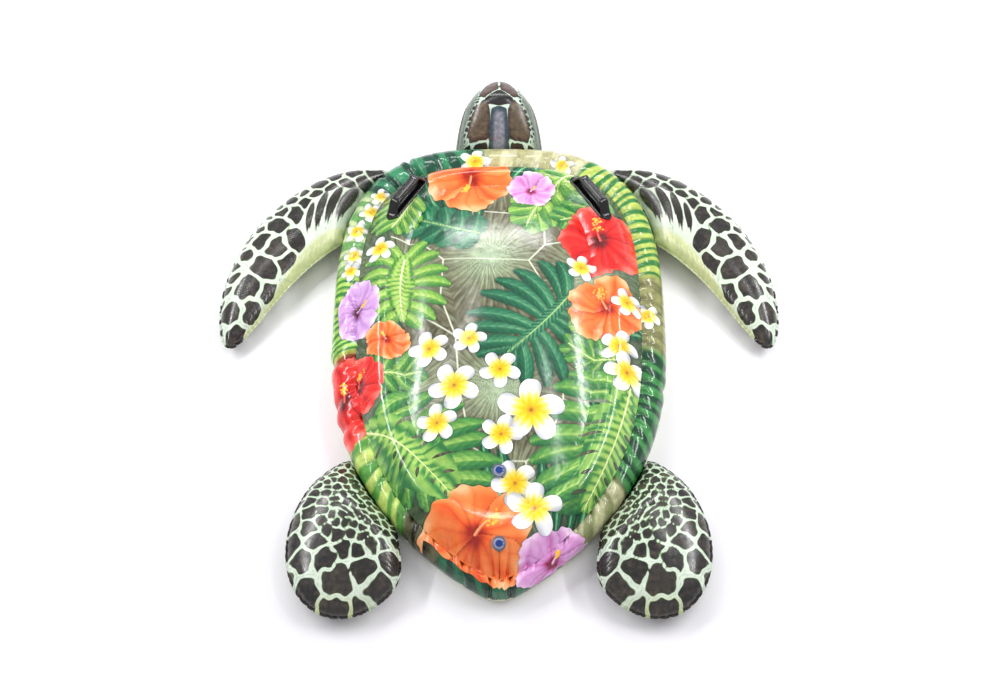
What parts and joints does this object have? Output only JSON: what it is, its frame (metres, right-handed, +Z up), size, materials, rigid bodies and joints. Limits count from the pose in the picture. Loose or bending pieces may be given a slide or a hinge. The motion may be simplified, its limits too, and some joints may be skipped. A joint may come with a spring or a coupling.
{
  "type": "inflatable pool float",
  "caption": "Ride-on inflatable float in the shape of a sea turtle, with a domed shell, hinged flippers and head, moulded grab handles and push-in air valves.",
  "frame": {"origin": "on the floor, under the middle of the float's bounding box", "axes": "+X to the rider's right, +Y to the head, +Z up"},
  "size_m": [1.72, 1.892, 0.2398],
  "materials": {
    "printed_shell_vinyl": "glossy printed PVC film",
    "plain_belly_vinyl": "glossy PVC film",
    "printed_limb_vinyl": "glossy printed PVC film",
    "handle_plastic": "glossy moulded black PVC",
    "valve_plastic": "satin soft moulded PVC"
  },
  "bodies": {
    "hull": {"rim_upper_panel": "printed_shell_vinyl", "rim_lower_panel": "plain_belly_vinyl", "ring_top_panel": "printed_shell_vinyl", "pad_top_panel": "printed_shell_vinyl", "belly_panel": "plain_belly_vinyl", "chamber_wall": "plain_belly_vinyl", "handle_left": "handle_plastic", "handle_right": "handle_plastic", "pad_valve_flange": "valve_plastic", "ring_valve_flange": "valve_plastic"},
    "head": {"head_crown_panel": "printed_limb_vinyl", "head_throat_panel": "printed_limb_vinyl"},
    "front_flipper_left": {"front_flipper_left_top_panel": "printed_limb_vinyl", "front_flipper_left_bottom_panel": "printed_limb_vinyl"},
    "rear_flipper_left": {"rear_flipper_left_top_panel": "printed_limb_vinyl", "rear_flipper_left_bottom_panel": "printed_limb_vinyl"},
    "front_flipper_right": {"front_flipper_right_top_panel": "printed_limb_vinyl", "front_flipper_right_bottom_panel": "printed_limb_vinyl"},
    "rear_flipper_right": {"rear_flipper_right_top_panel": "printed_limb_vinyl", "rear_flipper_right_bottom_panel": "printed_limb_vinyl"},
    "pad_valve_stem": {"pad_valve_stem": "valve_plastic"},
    "pad_valve_plug": {"pad_valve_plug": "valve_plastic"},
    "pad_valve_flap": {"pad_valve_flap": "valve_plastic"},
    "ring_valve_stem": {"ring_valve_stem": "valve_plastic"},
    "ring_valve_plug": {"ring_valve_plug": "valve_plastic"},
    "ring_valve_flap": {"ring_valve_flap": "valve_plastic"}
  },
  "joints": [
    {"name": "head_nod", "type": "hinge", "parent": "hull", "child": "head", "pos_m": [0, 0.7055, 0.067], "axis": [1, 0, 0], "range_deg": [-4, 12]},
    {"name": "front_flipper_left_hinge", "type": "hinge", "parent": "hull", "child": "front_flipper_left", "pos_m": [-0.436, 0.49, 0.067], "axis": [0.456, 0.89, 0], "range_deg": [0, 15]},
    {"name": "rear_flipper_left_hinge", "type": "hinge", "parent": "hull", "child": "rear_flipper_left", "pos_m": [-0.3707, -0.5655, 0.057], "axis": [-0.525, 0.8511, 0], "range_deg": [0, 15]},
    {"name": "front_flipper_right_hinge", "type": "hinge", "parent": "hull", "child": "front_flipper_right", "pos_m": [0.436, 0.49, 0.067], "axis": [0.456, -0.89, 0], "range_deg": [0, 15]},
    {"name": "rear_flipper_right_hinge", "type": "hinge", "parent": "hull", "child": "rear_flipper_right", "pos_m": [0.3707, -0.5655, 0.057], "axis": [-0.525, -0.8511, 0], "range_deg": [0, 15]},
    {"name": "pad_valve_push_in", "type": "slide", "parent": "hull", "child": "pad_valve_stem", "axis": [0, 0.205, -0.9788], "range_m": [0, 0.01]},
    {"name": "pad_valve_plug_hinge", "type": "hinge", "parent": "pad_valve_stem", "child": "pad_valve_plug", "pos_m": [0.013, -0.56089, 0.19436], "axis": [0, 0.9788, 0.205], "range_deg": [0, 95]},
    {"name": "pad_valve_flap_hinge", "type": "hinge", "parent": "pad_valve_stem", "child": "pad_valve_flap", "pos_m": [-0.0092, -0.55556, 0.16892], "axis": [0, 0.9788, 0.205], "range_deg": [0, 60]},
    {"name": "ring_valve_push_in", "type": "slide", "parent": "hull", "child": "ring_valve_stem", "axis": [0, 0.4793, -0.8777], "range_m": [0, 0.01]},
    {"name": "ring_valve_plug_hinge", "type": "hinge", "parent": "ring_valve_stem", "child": "ring_valve_plug", "pos_m": [0.013, -0.77687, 0.16241], "axis": [0, 0.8777, 0.4793], "range_deg": [0, 95]},
    {"name": "ring_valve_flap_hinge", "type": "hinge", "parent": "ring_valve_stem", "child": "ring_valve_flap", "pos_m": [-0.0092, -0.76441, 0.13959], "axis": [0, 0.8777, 0.4793], "range_deg": [0, 60]}
  ]
}
